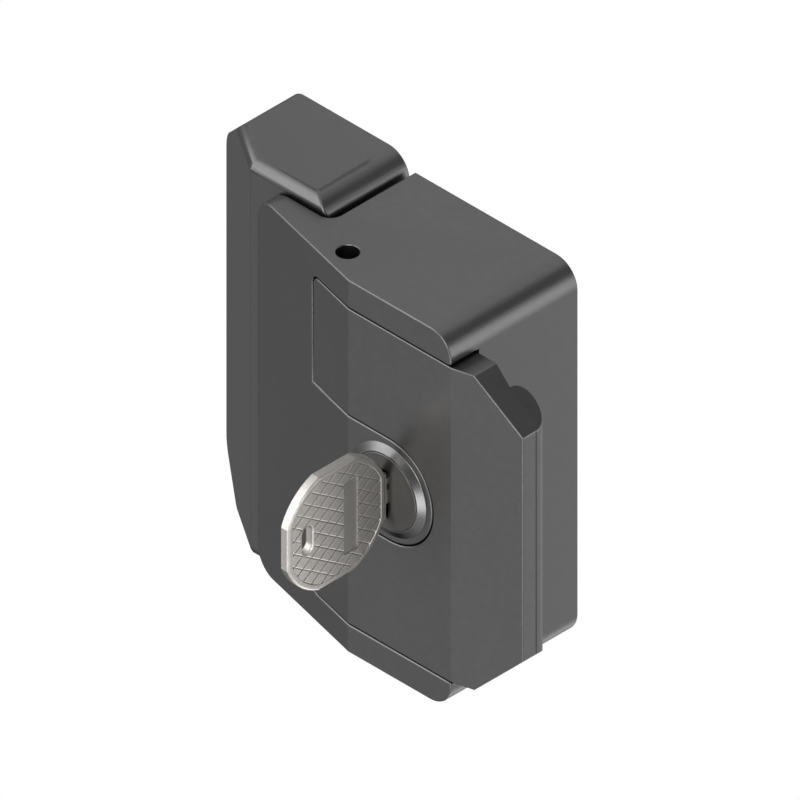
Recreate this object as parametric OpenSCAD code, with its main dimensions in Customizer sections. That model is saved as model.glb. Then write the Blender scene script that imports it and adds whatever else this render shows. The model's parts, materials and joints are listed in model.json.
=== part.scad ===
// Door lock for mounting on the face of a door: case with a sliding grip, key cylinder, keeper and key.
// Millimetres. X runs from the keeper to the grip's lip, Y runs into the door, Z is up.
// The origin is where the key's axis meets the face of the door.

/* [Case] */
// Height of the case
case_h = 91.2; // [88:0.4:100]
// Depth of the case from the door to its front
case_d = 36; // [35:0.5:40]
// Key axis to the right side
case_right = 17.6; // [16.6:0.2:22]
// Key axis to the side that faces the keeper
case_left = 28.4; // [27.4:0.2:34]
// Key axis to the crease where the front starts to fall back
crease_x = 11.5; // [11:0.5:14]
// Radius of the case corners, seen from the front
corner_r = 6; // [3:0.5:8]
// Wall of the case
case_wall = 2.5; // [2:0.1:3]
// Radius of the case edge where the grip comes out
mouth_r = 0.8; // [0.5:0.1:2]
// Depth of the recess that holds the grip
recess_d = 8; // [7:0.2:8.4]
// Thickness of the plate that closes the back
plate_t = 2; // [1.5:0.1:2.5]

/* [Wing over the keeper] */
// Reach of the wing past the side of the case
wing_w = 17.4; // [14:0.2:19]
// Thickness of the wing at its tip
wing_tip_t = 3.5; // [2.5:0.1:5]
// Gap between the wing and the keeper's front
wing_gap = 0.56; // [0.3:0.02:1.2]
// Radius of the inner corner behind the wing
notch_r = 3; // [2.6:0.1:4]

/* [Keeper] */
// Height of the keeper
keeper_h = 97.6; // [92:0.4:110]
// Depth of the keeper from the frame to its front
keeper_d = 23.5; // [22.8:0.1:25]
// Width of the keeper
keeper_w = 42.3; // [40:0.3:50]
// Width of the flat part of its front
keeper_flat = 21.8; // [20:0.2:26]
// Slope of the side away from the case, in degrees
keeper_slope = 33.75; // [28:0.25:36]
// Size of the slanted corners
keeper_chamfer = 11; // [8:0.5:14]
// Radius that eases the outer end of a slanted corner
keeper_side_r = 7; // [1:0.5:9]
// Radius that eases its upper end
keeper_end_r = 3.5; // [1:0.5:5]
// Radius of the rolled top and bottom edges
keeper_fillet = 3; // [1.5:0.25:4]
// How much the crease of the front is eased
crease_ease = 0.06; // [0.04:0.02:0.3]
// Radius of the front edge next to the case
keeper_edge = 1.8; // [1:0.1:2]
// Wall of the keeper
keeper_wall = 3; // [2.5:0.1:3.2]
// Gap between the keeper and the side of the case
keeper_gap = 1.5; // [1:0.1:2.5]

/* [Grip] */
// Height of the grip
grip_h = 77; // [74:0.5:80]
// Reach of the grip past the right side of the case
grip_reach = 16.4; // [15.6:0.2:22]
// Key axis to the left end of the grip
grip_left = 24.6; // [23.8:0.1:24.8]
// Size of the slanted corners of the grip
grip_chamfer = 11.2; // [6:0.2:13]
// Radius of the grip's left corners
grip_corner = 1.8; // [1:0.1:3]
// Radius of the finger bead along the right edge
bead_r = 3.7; // [3:0.1:3.9]
// Radius of the case island round the cylinder
island_r = 12.25; // [12:0.05:13]
// Visible gap round the grip
line_gap = 0.3; // [0.2:0.05:0.5]
// Gap under the sliding grip
slide_gap = 0.2; // [0.1:0.05:0.3]
// How far the grip pulls out
travel = 8; // [6:0.25:8]

/* [Cylinder] */
// Outer radius of the bright ring
ring_r = 10.8; // [10.4:0.1:11.4]
// Radius at the top of the ring's bevel
ring_top_r = 9; // [8.9:0.05:9.2]
// Upright edge of the ring
ring_edge = 0.3; // [0.2:0.05:0.5]
// Height of the ring above the case
ring_h = 1.2; // [1:0.1:1.6]
// Radius of the barrel
barrel_r = 9.5; // [9.3:0.05:9.7]
// Radius of the plug
plug_r = 6.5; // [6.4:0.05:7]
// Radius of the plug's face
plug_face_r = 8.8; // [8.2:0.05:8.8]
// Thickness of the plug's face
plug_face_t = 1.8; // [1.6:0.1:2.4]
// Radial clearance of turning and screwed fits
run_gap = 0.05; // [0.02:0.01:0.08]
// Height of the keyway
keyway_h = 12.2; // [9:0.1:12.4]
// Width of the keyway
keyway_w = 2.4; // [2.2:0.05:2.6]
// Thickness of the barrel's nut
nut_t = 3; // [2.5:0.1:4]
// Across the corners of the nut
nut_d = 24.4; // [23:0.1:24.4]
// Thickness of a wafer tumbler
wafer_t = 1; // [0.8:0.05:1.2]
// Width of a wafer tumbler
wafer_w = 5.8; // [5.4:0.1:6]
// Height of a wafer tumbler
wafer_h = 11; // [10.6:0.1:11.2]
// Spacing of the wafer tumblers
wafer_pitch = 2.6; // [2.2:0.05:2.8]

/* [Key] */
// Thickness of the bow
key_t = 2.44; // [2:0.04:2.8]
// Radius of the bow's round corners
bow_r = 14.7; // [13:0.1:16]
// Centre of the bow to its flat sides
bow_flat = 13.8; // [12.6:0.1:14.5]
// Front of the case to the centre of the bow
bow_out = 15.8; // [15.6:0.1:20]
// Width of the smooth border of the bow
bow_rim = 1.3; // [0.8:0.1:2]
// Depth of the recessed field of the bow
field_deep = 0.25; // [0.1:0.05:0.5]
// Width of the plate in that field
bow_plate_w = 4; // [3:0.2:5]
// Height of that plate
bow_plate_h = 17.6; // [14:0.2:19]
// How much deeper than the field the plate lies
plate_deep = 0.1; // [0.05:0.05:0.3]
// Thickness of the blade
blade_t = 2; // [1.6:0.05:2.1]
// Height of the blade
blade_h = 6.1; // [5:0.1:6.4]
// Middle of the blade above the key axis
blade_z = 0.85; // [0:0.05:1.2]

/* [Bolts] */
// Height of a latch bolt
latch_h = 10; // [8:0.2:11]
// Thickness of a latch bolt
latch_t = 7; // [6:0.2:8]
// Length of a latch bolt
latch_l = 26.4; // [24:0.2:27]
// Key axis to the middle of a latch bolt
latch_z = 17; // [16.8:0.1:18]
// Clearance round a bolt in its window
bolt_gap = 0.4; // [0.2:0.05:0.6]
// Height of the dead bolt
dead_h = 12; // [10:0.2:12.4]
// Thickness of the dead bolt
dead_t = 5; // [4:0.1:5.4]
// Radius at which the crank pin works
crank_r = 6; // [5.5:0.1:6.2]
// Radius of the crank pin
pin_r = 1.5; // [1.2:0.05:1.6]
// Thickness of the latch carrier
carrier_t = 2; // [1.5:0.1:2.4]

/* [Fixings] */
// Radius of the fixing holes
fix_r = 2.3; // [1.8:0.1:2.6]
// Radius of the seats for the fixing screws' heads
fix_head_r = 4.1; // [3.6:0.1:4.1]
// Key axis to the case fixing holes, upwards
case_fix_z = 32; // [30:0.5:33]
// Middle of the keeper to its fixing holes, upwards
keeper_fix_z = 36; // [32:0.5:37]
// Radius of the hole in the top and in the bottom of the case
top_hole_r = 2.45; // [1.5:0.05:2.6]
// Depth of that hole
top_hole_d = 5.6; // [3:0.1:6]

/* [Screws] */
// Radius of the carrier's and the crank's screws
screw_r = 1.5; // [1.2:0.1:1.6]
// Radius of their heads
screw_head_r = 2.75; // [2.4:0.05:2.8]
// Height of their heads
screw_head_h = 1.6; // [1.2:0.1:1.8]
// Length of their threads past what they hold
screw_l = 5; // [4:0.1:5.2]
// Radius of the bolt guide's screws
guide_screw_r = 0.8; // [0.6:0.05:0.9]
// Radius of their heads
guide_head_r = 1.5; // [1.2:0.05:1.6]
// Radius of the back plate's screws
plate_screw_r = 1; // [0.8:0.05:1.1]
// Radius of their sunk heads
plate_head_r = 2.1; // [1.8:0.05:2.2]
// Length of their threads past the plate
plate_screw_l = 6; // [4:0.5:6.5]
// Radius of the strike plate's screws
strike_screw_r = 1.25; // [1:0.05:1.3]
// Radius of their sunk heads
strike_head_r = 2.2; // [1.9:0.05:2.3]

/* [Hidden] */
$fn = 64;
eps = 0.02;
far = 200;
blunt_bite = 0.01;

// Planes and edges, worked out from the sizes above
front_y = -case_d;
floor_y = front_y + recess_d;
floor_back_y = floor_y + case_wall;
keeper_right = -(case_left + keeper_gap);
keeper_left = keeper_right - keeper_w;
keeper_crease = keeper_right - keeper_flat;
keeper_front = -keeper_d;
wing_back_y = keeper_front - wing_gap;
wing_left = -(case_left + wing_w);
case_slope = atan((case_d - keeper_d - wing_gap - wing_tip_t) / (-crease_x - wing_left));
cavity_left = -case_left + case_wall;
cavity_right = case_right - case_wall;
cavity_h = case_h - 2 * case_wall;
recess_h = grip_h + 2 * line_gap;
grip_right = case_right + grip_reach;
grip_back_y = floor_y - slide_gap;
bead_x = grip_right - bead_r;
slot_r = island_r + line_gap;
carrier_front_y = floor_back_y + 0.3;
carrier_back_y = carrier_front_y + carrier_t;
latch_front_y = max(keeper_front + keeper_wall + 0.5, carrier_back_y + 3.2);
latch_back_y = latch_front_y + latch_t;
latch_tip = -(case_left + travel);
latch_tail = latch_tip + latch_l;
dead_back_y = -(plate_t + 0.3);
dead_front_y = dead_back_y - dead_t;
crank_t = 2;
crank_back_y = dead_front_y - 3.6;
crank_front_y = crank_back_y - crank_t;
crank_disc_r = crank_r + pin_r + 0.5;
barrel_back_y = crank_front_y - 0.1;
ring_y = front_y - ring_h;
plug_seat_y = ring_y + plug_face_t;
crank_side = crank_r / sqrt(2);
pin_slack = 0.3;
dead_tip = -(case_left - 0.5);
dead_tail = crank_side + pin_r + 6.2;
tail_h = 2 * (crank_r + pin_r + 2.2);
fix_x = -(grip_left + line_gap) + fix_head_r + 0.1;
fix_wall = 1.9;
keeper_fix_x = keeper_right - 9.6;
keeper_side = keeper_wall + 1;
strike_t = 2;
strike_front_y = keeper_front + 2.4;
strike_back_y = -1;
strike_h = 2 * (latch_z + latch_h / 2 + 5);
strike_screw_z = latch_z + latch_h / 2 + 2.4;
strike_screw_y = [strike_front_y + 4.4, strike_back_y - 3.5];
boss_r = 3.2;
boss_x = -6;
boss_hole_r = screw_r + run_gap;
wafer_n = 5;
wafer_gap = 0.1;
keyway_end_y = crank_front_y - screw_l - 0.9;
wafer_first_y = plug_seat_y + 1.9;
blade_tip_y = keyway_end_y - 0.7;
bow_y = front_y - bow_out;
spring_wire = 0.4;
spring_r = 2.6;
spring_turns = 5;
stub_r = 1.2;
spring_y = floor_back_y + spring_r + spring_wire + 0.6;
tab_x = 2;
post_r = 3;
post_xs = [cavity_left + post_r, cavity_right - post_r];
post_z = cavity_h / 2 - post_r;
guide_x = -17;
guide_w = 6;
guide_t = 1.5;
guide_screw_z = dead_h / 2 + guide_t + guide_head_r + 0.9;
plate_sink_y = -(plate_head_r - plate_screw_r);

// How far the sloping front lies behind the flat front at x
function fall(x) = max(0, -crease_x - x) * tan(case_slope);

// How far the right facet of the grip lies behind the flat front at x
function lip_fall(x) = max(0, x - case_right) * tan(case_slope);

// Where wafer i sits along the plug
function wafer_y(i) = wafer_first_y + i * wafer_pitch;

// Upright block from corner a to corner b
module block(a, b) {
    translate([min(a.x, b.x), min(a.y, b.y), min(a.z, b.z)])
        cube([abs(b.x - a.x), abs(b.y - a.y), abs(b.z - a.z)]);
}

// Round bar along Y from y0 to y1, centred at x, z
module bar_y(r, y0, y1, x = 0, z = 0) {
    translate([x, y0, z])
        rotate([-90, 0, 0])
            cylinder(r = r, h = y1 - y0);
}

// Round bar along X from x0 to x1
module bar_x(r, x0, x1, y, z) {
    translate([x0, y, z])
        rotate([0, 90, 0])
            cylinder(r = r, h = x1 - x0);
}

// Cone along Y
module cone_y(r0, r1, y0, y1, x = 0, z = 0) {
    translate([x, y0, z])
        rotate([-90, 0, 0])
            cylinder(r1 = r0, r2 = r1, h = y1 - y0);
}

// Front view outline, carried into the door from y0 to y1
module front_view(y0, y1) {
    translate([0, y1, 0])
        rotate([90, 0, 0])
            linear_extrude(height = y1 - y0)
                children();
}

// What a round corner takes away: corner at x, z, with the outside towards sx, sz
module corner_waste(x, z, sx, sz, r) {
    if (r > 0) difference() {
        translate([x - sx * r / 2 + sx * eps, z - sz * r / 2 + sz * eps])
            square([r + 2 * eps, r + 2 * eps], center = true);
        translate([x - sx * r, z - sz * r])
            circle(r = r);
    }
}

// What a slanted corner takes away, c wide and c high
module slant_waste(x, z, sx, sz, c) {
    polygon([
        [x - sx * c, z + sz],
        [x - sx * c, z],
        [x, z - sz * c],
        [x + sx, z - sz * c],
        [x + sx, z + sz]
    ]);
}

// What easing a blunt corner of 135 degrees takes away: outside towards angle a, radius r.
// The circle stands blunt_bite proud of both sides, so it crosses them at a clear angle.
module blunt_waste(x, z, a, r) {
    reach = (r - blunt_bite) / cos(22.5);
    side = (r + 0.5) * [cos(22.5), sin(22.5)];
    translate([x, z])
        rotate(a)
            translate([-reach, 0])
                difference() {
                    polygon([[0, 0], [side.x, -side.y], [reach + 1, 0], side]);
                    circle(r = r);
                }
}

// Rectangle from x0 to x1, h high, with its left and right corners rounded
module plate_outline(x0, x1, h, left_r, right_r) {
    difference() {
        translate([x0, -h / 2])
            square([x1 - x0, h]);
        for (s = [-1, 1]) {
            corner_waste(x0, s * h / 2, -1, s, left_r);
            corner_waste(x1, s * h / 2, 1, s, right_r);
        }
    }
}

// Screw along Y: head from y0 to y1, shank on to y2
module pan_screw(x, z, head_r, shank_r, y_head, y_seat, y_tip) {
    difference() {
        union() {
            bar_y(head_r, min(y_head, y_seat), max(y_head, y_seat), x, z);
            bar_y(shank_r, min(y_seat, y_tip), max(y_seat, y_tip), x, z);
        }
        translate([x, y_head, z])
            cube([head_r * 1.4, 1.2, 0.6], center = true);
        translate([x, y_head, z])
            cube([0.6, 1.2, head_r * 1.4], center = true);
    }
}

// Case

// Seen from above: flat front, sloping left part, wing, and the notch that takes the keeper
module case_plan() {
    polygon([
        [case_right, 0],
        [case_right, front_y],
        [-crease_x, front_y],
        [wing_left, front_y + fall(wing_left)],
        [wing_left, wing_back_y],
        [-case_left - notch_r, wing_back_y],
        [-case_left - notch_r, wing_back_y + notch_r],
        [-case_left, wing_back_y + notch_r],
        [-case_left, 0]
    ]);
}

// Island of the case front inside the grip's slot
module island_outline(r) {
    circle(r = r);
    translate([-far, -r])
        square([far, 2 * r]);
}

module recess_space() {
    difference() {
        front_view(front_y - 1, floor_y)
            plate_outline(-grip_left - line_gap, case_right + 1, recess_h, grip_corner + line_gap, 0);
        front_view(front_y - 2, floor_y + 1)
            island_outline(island_r);
    }
}

module case_cavity() {
    difference() {
        front_view(floor_back_y, 1)
            plate_outline(cavity_left, cavity_right, cavity_h, 1, max(1, corner_r - case_wall));
        for (s = [-1, 1]) {
            bar_y(fix_head_r + fix_wall, floor_back_y - 1, -plate_t, fix_x, s * case_fix_z);
            for (x = post_xs)
                bar_y(post_r, floor_back_y - 1, -plate_t, x, s * post_z);
        }
    }
}

// Window for a bolt through a wall from x0 to x1
module bolt_window(x0, x1, y0, y1, z0, z1, gap) {
    block([x0, y0 - gap, z0 - gap], [x1, y1 + gap, z1 + gap]);
}

module bolt_windows(x0, x1, gap) {
    for (s = [-1, 1])
        bolt_window(x0, x1, latch_front_y, latch_back_y,
            s * latch_z - latch_h / 2, s * latch_z + latch_h / 2, gap);
    bolt_window(x0, x1, dead_front_y, dead_back_y, -dead_h / 2, dead_h / 2, gap);
}

module case_body() {
    color("#6b6b6c")
    difference() {
        intersection() {
            translate([0, 0, -far / 2])
                linear_extrude(height = far)
                    case_plan();
            front_view(front_y - 1, 1)
                plate_outline(wing_left, case_right, case_h, corner_r, corner_r);
        }
        // Round inner corner of the notch
        translate([-case_left - notch_r, wing_back_y + notch_r, -far / 2])
            cylinder(r = notch_r, h = far);
        recess_space();
        for (s = [-1, 1])
            front_view(front_y - 1, floor_y)
                corner_waste(case_right, s * recess_h / 2, 1, -s, mouth_r);
        case_cavity();
        bar_y(barrel_r + run_gap, front_y - 1, floor_back_y + 1);
        bolt_windows(-case_left - 1, cavity_left + 1, bolt_gap / 2);
        for (s = [-1, 1]) {
            // Slots that the grip's bosses run in
            for (x = [boss_x, boss_x + travel])
                bar_y(boss_r + run_gap, floor_y - 1, floor_back_y + 1, x, s * latch_z);
            block([boss_x, floor_y - 1, s * latch_z - boss_r - run_gap],
                [boss_x + travel, floor_back_y + 1, s * latch_z + boss_r + run_gap]);
            // Fixing holes with their seats
            bar_y(fix_head_r, floor_y - 1, -plate_t - 3.5, fix_x, s * case_fix_z);
            bar_y(fix_r, floor_y, 1, fix_x, s * case_fix_z);
            for (x = post_xs)
                bar_y(plate_screw_r + run_gap, -plate_t - plate_screw_l - 1, 0, x, s * post_z);
            // Seats of the spring guides in the right wall
            bar_x(stub_r + run_gap, cavity_right - 1, case_right - 0.8, spring_y, s * latch_z);
        }
        // Holes in the top and in the bottom
        for (s = [0, 1])
            mirror([0, 0, s])
                translate([-18.5, floor_y - 1.1, case_h / 2 - top_hole_d])
                    cylinder(r = top_hole_r, h = top_hole_d + 1);
    }
}

module back_plate() {
    gap = 0.1;
    color("#8f9092")
    difference() {
        front_view(-plate_t, 0)
            plate_outline(cavity_left + gap, cavity_right - gap, cavity_h - 2 * gap,
                1, max(1, corner_r - case_wall));
        for (s = [-1, 1]) {
            bar_y(fix_r, -plate_t - 1, 1, fix_x, s * case_fix_z);
            for (x = post_xs) {
                bar_y(plate_screw_r + run_gap, -plate_t - 1, 1, x, s * post_z);
                cone_y(plate_screw_r + run_gap, plate_head_r + run_gap, plate_sink_y, eps, x, s * post_z);
            }
            bar_y(guide_screw_r + run_gap, -plate_t - 1, 1, guide_x, s * guide_screw_z);
        }
    }
}

module back_plate_screws() {
    color("#b9bbbd")
    for (s = [-1, 1], x = post_xs)
        difference() {
            union() {
                cone_y(plate_screw_r, plate_head_r, plate_sink_y, 0, x, s * post_z);
                bar_y(plate_screw_r, -plate_t - plate_screw_l, plate_sink_y, x, s * post_z);
            }
            translate([x, 0, s * post_z])
                cube([2.4, 1, 0.5], center = true);
            translate([x, 0, s * post_z])
                cube([0.5, 1, 2.4], center = true);
        }
}

// Grip and what moves with it

module grip_outline() {
    difference() {
        plate_outline(-grip_left, grip_right, grip_h, grip_corner, 0);
        for (s = [-1, 1])
            slant_waste(grip_right, s * grip_h / 2, 1, s, grip_chamfer);
    }
}

// Seen from above: the front follows the case, then falls back to the lip
module grip_plan() {
    polygon([
        [-grip_left, front_y + fall(-grip_left)],
        [-crease_x, front_y],
        [case_right, front_y],
        [grip_right, front_y + lip_fall(grip_right)],
        [grip_right, grip_back_y],
        [-grip_left, grip_back_y]
    ]);
}

module grip_slide() {
    color("#6e6e6f")
    difference() {
        union() {
            intersection() {
                union() {
                    translate([0, 0, -grip_h / 2])
                        linear_extrude(height = grip_h)
                            grip_plan();
                    translate([bead_x, grip_back_y + slide_gap, -grip_h / 2])
                        cylinder(r = bead_r, h = grip_h);
                }
                front_view(front_y - 1, 1)
                    grip_outline();
            }
            for (s = [-1, 1])
                bar_y(boss_r, grip_back_y - 1, carrier_front_y, boss_x, s * latch_z);
        }
        front_view(front_y - 1, floor_y + 1)
            island_outline(slot_r);
        for (s = [-1, 1])
            bar_y(boss_hole_r, carrier_front_y - screw_l - 1, carrier_front_y + 1, boss_x, s * latch_z);
    }
}

module latch_carrier() {
    arm_in = slot_r + 0.05;
    arm_out = latch_z + latch_h / 2;
    left = cavity_left + 1.9;
    right = -(nut_d / 2 + travel + 0.6);
    color("#a9abad")
    difference() {
        union() {
            block([left, carrier_front_y, -arm_out], [right, carrier_back_y, arm_out]);
            for (s = [-1, 1]) {
                block([left, carrier_front_y, s * arm_in], [tab_x, carrier_back_y, s * arm_out]);
                // Tab that the return spring pushes against
                block([tab_x - 2, carrier_back_y - eps, s * latch_z - 3.6],
                    [tab_x, spring_y + spring_r + spring_wire, s * latch_z + 3.6]);
            }
        }
        for (s = [-1, 1])
            bar_y(boss_hole_r, carrier_front_y - 1, carrier_back_y + 1, boss_x, s * latch_z);
    }
}

module latch_bolts() {
    foot_left = cavity_left + 1.9;
    color("#c4c6c8")
    for (s = [-1, 1])
        difference() {
            union() {
                block([latch_tip, latch_front_y, s * latch_z - latch_h / 2],
                    [latch_tail, latch_back_y, s * latch_z + latch_h / 2]);
                block([foot_left, carrier_back_y, s * latch_z - latch_h / 2],
                    [latch_tail - 2, latch_front_y + 1, s * latch_z + latch_h / 2]);
            }
            // Bevel that lets the door push the bolt back
            translate([latch_tip, latch_back_y, s * latch_z])
                rotate([0, 0, 45])
                    cube([(latch_t - 1) * sqrt(2), (latch_t - 1) * sqrt(2), latch_h + 2], center = true);
        }
}

module carrier_screws() {
    color("#b9bbbd")
    for (s = [-1, 1])
        pan_screw(boss_x, s * latch_z, screw_head_r, screw_r,
            carrier_back_y + screw_head_h, carrier_back_y, carrier_front_y - screw_l);
}

// Wire along a helix on X, closed at both ends, as rings of points joined by faces
module return_spring(z) {
    sides = 8;
    per_turn = 14;
    last = spring_turns * per_turn;
    x0 = tab_x + spring_wire;
    x1 = cavity_right - spring_wire;
    points = [
        for (i = [0:last])
            let (a = 360 * i / per_turn, x = x0 + (x1 - x0) * i / last)
                for (j = [0:sides - 1])
                    let (b = 360 * j / sides, r = spring_r + spring_wire * cos(b))
                        [x + spring_wire * sin(b), spring_y + r * cos(a), z + r * sin(a)]
    ];
    skin = [
        for (i = [0:last - 1], j = [0:sides - 1])
            let (k = (j + 1) % sides, a = i * sides, b = (i + 1) * sides)
                [a + j, b + j, b + k, a + k]
    ];
    start = [for (j = [0:sides - 1]) j];
    finish = [for (j = [0:sides - 1]) last * sides + sides - 1 - j];
    color("#c9cbcc")
    polyhedron(points = points, faces = concat(skin, [start, finish]), convexity = 10);
}

module return_spring_upper() {
    return_spring(latch_z);
}

module return_spring_lower() {
    return_spring(-latch_z);
}

module spring_guides() {
    color("#b9bbbd")
    for (s = [-1, 1]) {
        bar_x(spring_r - spring_wire - 0.5, tab_x + travel + 1, cavity_right, spring_y, s * latch_z);
        bar_x(stub_r, cavity_right, case_right - 0.8, spring_y, s * latch_z);
    }
}

// Cylinder

module cylinder_barrel() {
    color("#b4b2ae")
    difference() {
        union() {
            bar_y(ring_r, front_y - ring_edge, front_y);
            cone_y(ring_top_r, ring_r, ring_y, front_y - ring_edge);
            bar_y(barrel_r, front_y, barrel_back_y);
        }
        bar_y(plug_face_r + run_gap, ring_y - 1, plug_seat_y + 0.1);
        bar_y(plug_r + run_gap, ring_y, barrel_back_y + 1);
    }
}

module barrel_nut() {
    color("#a9abad")
    difference() {
        translate([0, floor_back_y, 0])
            rotate([-90, 0, 0])
                cylinder(d = nut_d, h = nut_t, $fn = 6);
        bar_y(barrel_r + run_gap, floor_back_y - 1, floor_back_y + nut_t + 1);
    }
}

module cylinder_plug() {
    color("#474745")
    difference() {
        union() {
            bar_y(plug_face_r, ring_y, plug_seat_y);
            bar_y(plug_r, plug_seat_y, crank_front_y);
        }
        block([-keyway_w / 2, ring_y - 1, -keyway_h / 2], [keyway_w / 2, keyway_end_y, keyway_h / 2]);
        for (i = [0:wafer_n - 1])
            block([-wafer_w / 2 - wafer_gap, wafer_y(i) - wafer_gap, -wafer_h / 2 - wafer_gap],
                [wafer_w / 2 + wafer_gap, wafer_y(i) + wafer_t + wafer_gap, wafer_h / 2 + wafer_gap]);
        bar_y(screw_r + run_gap, crank_front_y - screw_l - 0.2, crank_front_y + 1);
    }
}

module wafer_tumblers() {
    color("#b08d4a")
    for (i = [0:wafer_n - 1])
        difference() {
            block([-wafer_w / 2, wafer_y(i), -wafer_h / 2], [wafer_w / 2, wafer_y(i) + wafer_t, wafer_h / 2]);
            block([-blade_t / 2 - 0.2, wafer_y(i) - 1, blade_z - blade_h / 2 - 0.3],
                [blade_t / 2 + 0.2, wafer_y(i) + wafer_t + 1, blade_z + blade_h / 2 + 0.3]);
        }
}

module crank_disc() {
    color("#a9abad")
    difference() {
        bar_y(crank_disc_r, crank_front_y, crank_back_y);
        bar_y(screw_r + run_gap, crank_front_y - 1, crank_back_y + 1);
        bar_y(pin_r + run_gap, crank_front_y - 1, crank_back_y + 1, crank_side, crank_side);
    }
}

module crank_pin() {
    color("#c9cbcc")
    bar_y(pin_r, crank_front_y, dead_back_y - 0.3, crank_side, crank_side);
}

module crank_screw() {
    color("#b9bbbd")
    pan_screw(0, 0, screw_head_r, screw_r,
        crank_back_y + screw_head_h, crank_back_y, crank_front_y - screw_l);
}

// Dead bolt

module dead_bolt() {
    slot_r = pin_r + pin_slack;
    color("#c4c6c8")
    difference() {
        union() {
            block([dead_tip, dead_front_y, -dead_h / 2], [dead_tail, dead_back_y, dead_h / 2]);
            block([-4, dead_front_y, -tail_h / 2], [dead_tail, dead_back_y, tail_h / 2]);
        }
        // Slot that the crank pin works in
        for (z = [crank_side - 0.2, crank_r + 0.2])
            bar_y(slot_r, dead_front_y - 1, dead_back_y + 1, crank_side, z);
        block([crank_side - slot_r, dead_front_y - 1, crank_side - 0.2],
            [crank_side + slot_r, dead_back_y + 1, crank_r + 0.2]);
    }
}

module bolt_guide() {
    inner = dead_h / 2 + 0.3;
    outer = inner + guide_t;
    foot = guide_screw_z + 2;
    under_y = dead_front_y - 0.2;
    color("#a9abad")
    difference() {
        union() {
            block([guide_x - guide_w / 2, under_y - guide_t, -outer],
                [guide_x + guide_w / 2, -plate_t, outer]);
            block([guide_x - guide_w / 2, -plate_t - guide_t, -foot],
                [guide_x + guide_w / 2, -plate_t, foot]);
        }
        block([guide_x - guide_w, under_y, -inner], [guide_x + guide_w, -plate_t + 1, inner]);
        for (s = [-1, 1])
            bar_y(guide_screw_r + run_gap, -plate_t - 3, 1, guide_x, s * guide_screw_z);
    }
}

module bolt_guide_screws() {
    color("#b9bbbd")
    for (s = [-1, 1])
        pan_screw(guide_x, s * guide_screw_z, guide_head_r, guide_screw_r,
            -plate_t - guide_t - 1.2, -plate_t - guide_t, -0.3);
}

// Keeper

// Slab behind the sloping side, with rolled top and bottom edges; inset moves its faces inwards
module sloped_slab(h, r, inset) {
    translate([keeper_crease, keeper_front, 0])
        rotate([0, 0, -keeper_slope])
            translate([far / 2, inset, 0])
                rotate([90, 0, -90])
                    linear_extrude(height = far)
                        slab_section(h, r);
}

// Slab behind the flat front
module flat_slab(h, r, inset) {
    translate([far / 2 + keeper_crease, keeper_front + inset, 0])
        rotate([90, 0, -90])
            linear_extrude(height = far)
                slab_section(h, r);
}

// Section of either slab: depth runs to the left here
module slab_section(h, r) {
    difference() {
        translate([-60, -h / 2])
            square([60, h]);
        for (s = [-1, 1])
            corner_waste(0, s * h / 2, 1, s, r);
    }
}

// Slab behind the narrow flat that eases the crease between the front and the sloping side
module crease_slab() {
    translate([keeper_crease, keeper_front, 0])
        rotate([0, 0, -keeper_slope / 2])
            translate([-far / 2, crease_ease, -far / 2])
                cube([far, far, far]);
}

module keeper_outline(x0, x1, h, c, r) {
    difference() {
        plate_outline(x0, x1, h, 0, r);
        for (s = [-1, 1])
            slant_waste(x0, s * h / 2, -1, s, c);
    }
}

module keeper_shape() {
    intersection() {
        flat_slab(keeper_h, keeper_fillet, 0);
        sloped_slab(keeper_h, keeper_fillet, 0);
        crease_slab();
        front_view(keeper_front - 1, 0)
            difference() {
                keeper_outline(keeper_left, keeper_right, keeper_h, keeper_chamfer, corner_r);
                for (s = [-1, 1]) {
                    blunt_waste(keeper_left, s * (keeper_h / 2 - keeper_chamfer),
                        180 - s * 22.5, keeper_side_r);
                    blunt_waste(keeper_left + keeper_chamfer, s * keeper_h / 2,
                        s * 112.5, keeper_end_r);
                }
            }
        // Rounded front edge next to the case
        translate([0, 0, -far / 2])
            linear_extrude(height = far)
                difference() {
                    translate([keeper_left - 1, keeper_front - 1])
                        square([keeper_w + 1, keeper_d + 2]);
                    corner_waste(keeper_right, keeper_front, 1, -1, keeper_edge);
                }
    }
}

module keeper_cavity() {
    w = keeper_wall;
    h = keeper_h - 2 * w;
    difference() {
        intersection() {
            flat_slab(h, 0, w);
            sloped_slab(h, 0, w);
            front_view(keeper_front, 1)
                keeper_outline(keeper_left + w, keeper_right - keeper_side, h,
                    keeper_chamfer - w * (2 - sqrt(2)), corner_r - w + 0.5);
        }
        for (s = [-1, 1])
            bar_y(fix_head_r + fix_wall, keeper_front, 1, keeper_fix_x, s * keeper_fix_z);
    }
}

module keeper_body() {
    color("#6c6c6d")
    difference() {
        keeper_shape();
        keeper_cavity();
        for (s = [-1, 1]) {
            bar_y(fix_head_r, keeper_front - 1, -6, keeper_fix_x, s * keeper_fix_z);
            bar_y(fix_r, keeper_front, 1, keeper_fix_x, s * keeper_fix_z);
            for (y = strike_screw_y)
                bar_x(strike_screw_r + run_gap, keeper_right - keeper_side - 1, keeper_right,
                    y, s * strike_screw_z);
        }
        // Seat of the strike plate
        block([keeper_right - strike_t - 0.05, strike_front_y - 0.1, -strike_h / 2 - 0.1],
            [keeper_right + 1, strike_back_y + 0.1, strike_h / 2 + 0.1]);
        bolt_windows(keeper_right - keeper_side - 1, keeper_right, bolt_gap);
    }
}

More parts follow.
